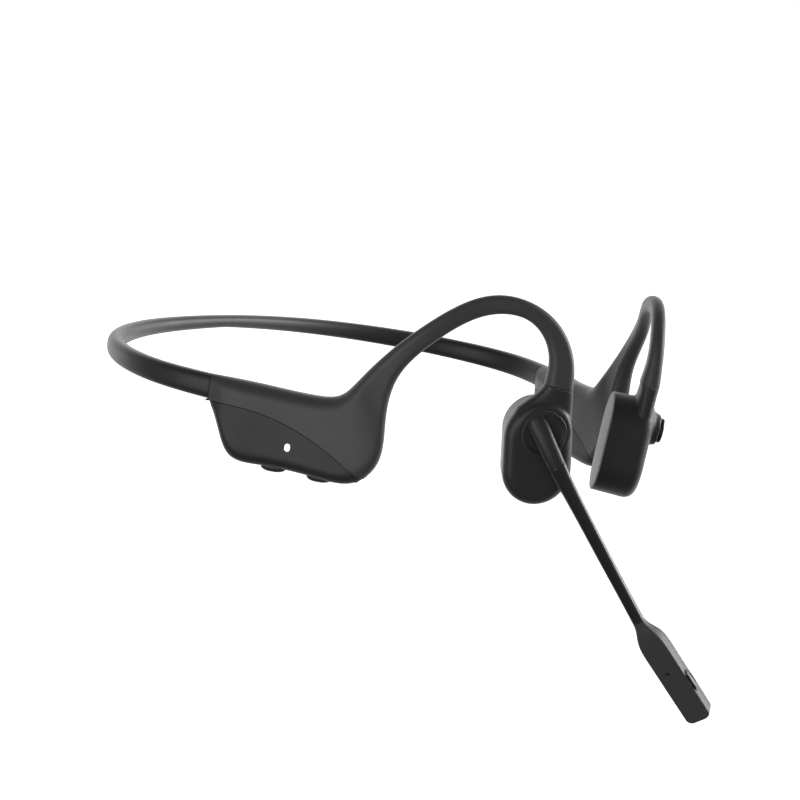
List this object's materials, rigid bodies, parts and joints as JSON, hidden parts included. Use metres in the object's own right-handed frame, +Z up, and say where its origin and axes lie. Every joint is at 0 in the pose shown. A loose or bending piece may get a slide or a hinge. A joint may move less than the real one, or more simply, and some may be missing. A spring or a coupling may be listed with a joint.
{
  "type": "bone conduction headphones",
  "caption": "Open-ear headset: a springy neckband with ear hooks, cheekbone transducers, control pods and a swivelling boom microphone.",
  "frame": {"origin": "midway between the tops of the two ear hooks, at the height where the hooks rest on the ears", "axes": "+X towards the wearer's left, -Y the way the wearer faces, +Z up; the neckband passes behind the neck at +Y"},
  "size_m": [0.1534, 0.1528, 0.0995],
  "materials": {
    "soft_touch_black": "soft-touch silicone skin, fine matte",
    "arm_grey": "fine matte moulded grey",
    "cover_black": "fine satin moulded black",
    "skin_pad_grey": "soft light grey silicone",
    "gloss_black": "polished black",
    "boom_black": "semi-gloss black sleeve",
    "button_rubber": "matte black key rubber",
    "spring_alloy": "drawn nickel-titanium wire",
    "steel": "pressed steel",
    "magnet": "nickel-plated sintered magnet",
    "copper_winding": "enamelled copper wire",
    "gold_contact": "gold-plated contact",
    "circuit_board": "green solder mask",
    "cell_foil": "laminated foil pouch",
    "light_pipe": "milky translucent plastic",
    "seal_rubber": "black silicone seal",
    "white_polymer": "natural acetal"
  },
  "bodies": {
    "neckband": {"neckband_back_sleeve": "soft_touch_black", "memory_wire_back": "spring_alloy"},
    "right_arm": {"boom_friction_ring": "white_polymer", "charging_pin_1": "gold_contact", "charging_pin_2": "gold_contact", "charging_port": "gloss_black", "main_board": "circuit_board", "right_arm_shell": "arm_grey", "right_contact_pad": "skin_pad_grey", "right_hook_wire": "spring_alloy", "right_leaf_spring": "steel", "right_magnet": "magnet", "right_memory_wire": "spring_alloy", "right_neckband_sleeve": "soft_touch_black", "right_pod_cover": "cover_black", "right_seal_ring": "seal_rubber", "right_transducer_shell": "soft_touch_black", "right_voice_coil": "copper_winding", "right_yoke_cup": "steel", "status_light_pipe": "light_pipe", "volume_down_switch": "white_polymer", "volume_up_switch": "white_polymer"},
    "left_arm": {"battery_board": "circuit_board", "battery_cell": "cell_foil", "left_arm_shell": "arm_grey", "left_contact_pad": "skin_pad_grey", "left_hook_wire": "spring_alloy", "left_leaf_spring": "steel", "left_magnet": "magnet", "left_memory_wire": "spring_alloy", "left_neckband_sleeve": "soft_touch_black", "left_pod_cover": "cover_black", "left_seal_ring": "seal_rubber", "left_transducer_shell": "soft_touch_black", "left_voice_coil": "copper_winding", "left_yoke_cup": "steel", "multifunction_switch": "steel"},
    "boom": {"boom_hub": "soft_touch_black", "boom_pivot_pin": "steel", "boom_retaining_clip": "steel", "boom_stalk": "boom_black", "boom_core_wire": "spring_alloy", "mic_head_shell": "cover_black", "mic_head_cover": "cover_black", "mic_board": "circuit_board", "rear_mic_capsule": "steel", "tip_mic_capsule": "steel", "mute_switch": "white_polymer"},
    "volume_up": {"volume_up_button": "button_rubber"},
    "volume_down": {"volume_down_button": "button_rubber"},
    "multifunction": {"multifunction_button": "gloss_black"},
    "mute": {"mute_button": "button_rubber"}
  },
  "joints": [
    {"name": "right_arm_flex", "type": "hinge", "parent": "neckband", "child": "right_arm", "pos_m": [-0.02218, 0.11149, -0.02452], "axis": [0, 0, -1], "range_deg": [0, 28], "stiffness_Nm_per_rad": 0.44},
    {"name": "left_arm_flex", "type": "hinge", "parent": "neckband", "child": "left_arm", "pos_m": [0.02218, 0.11149, -0.02452], "axis": [0, 0, 1], "range_deg": [0, 28], "stiffness_Nm_per_rad": 0.44},
    {"name": "boom_swivel", "type": "hinge", "parent": "right_arm", "child": "boom", "pos_m": [-0.02181, -0.00646, -0.02943], "axis": [-0.6227, -0.7761, -0.1], "range_deg": [-15, 150]},
    {"name": "volume_up_press", "type": "slide", "parent": "right_arm", "child": "volume_up", "axis": [0, 0, 1], "range_m": [0, 0.0005], "stiffness_N_per_m": 800},
    {"name": "volume_down_press", "type": "slide", "parent": "right_arm", "child": "volume_down", "axis": [0, 0, 1], "range_m": [0, 0.0005], "stiffness_N_per_m": 800},
    {"name": "multifunction_press", "type": "slide", "parent": "left_arm", "child": "multifunction", "axis": [-0.6227, 0.7761, 0.1], "range_m": [0, 0.0006], "stiffness_N_per_m": 800},
    {"name": "mute_press", "type": "slide", "parent": "boom", "child": "mute", "axis": [-0.3058, 0.7417, -0.597], "range_m": [0, 0.0004], "stiffness_N_per_m": 800}
  ]
}
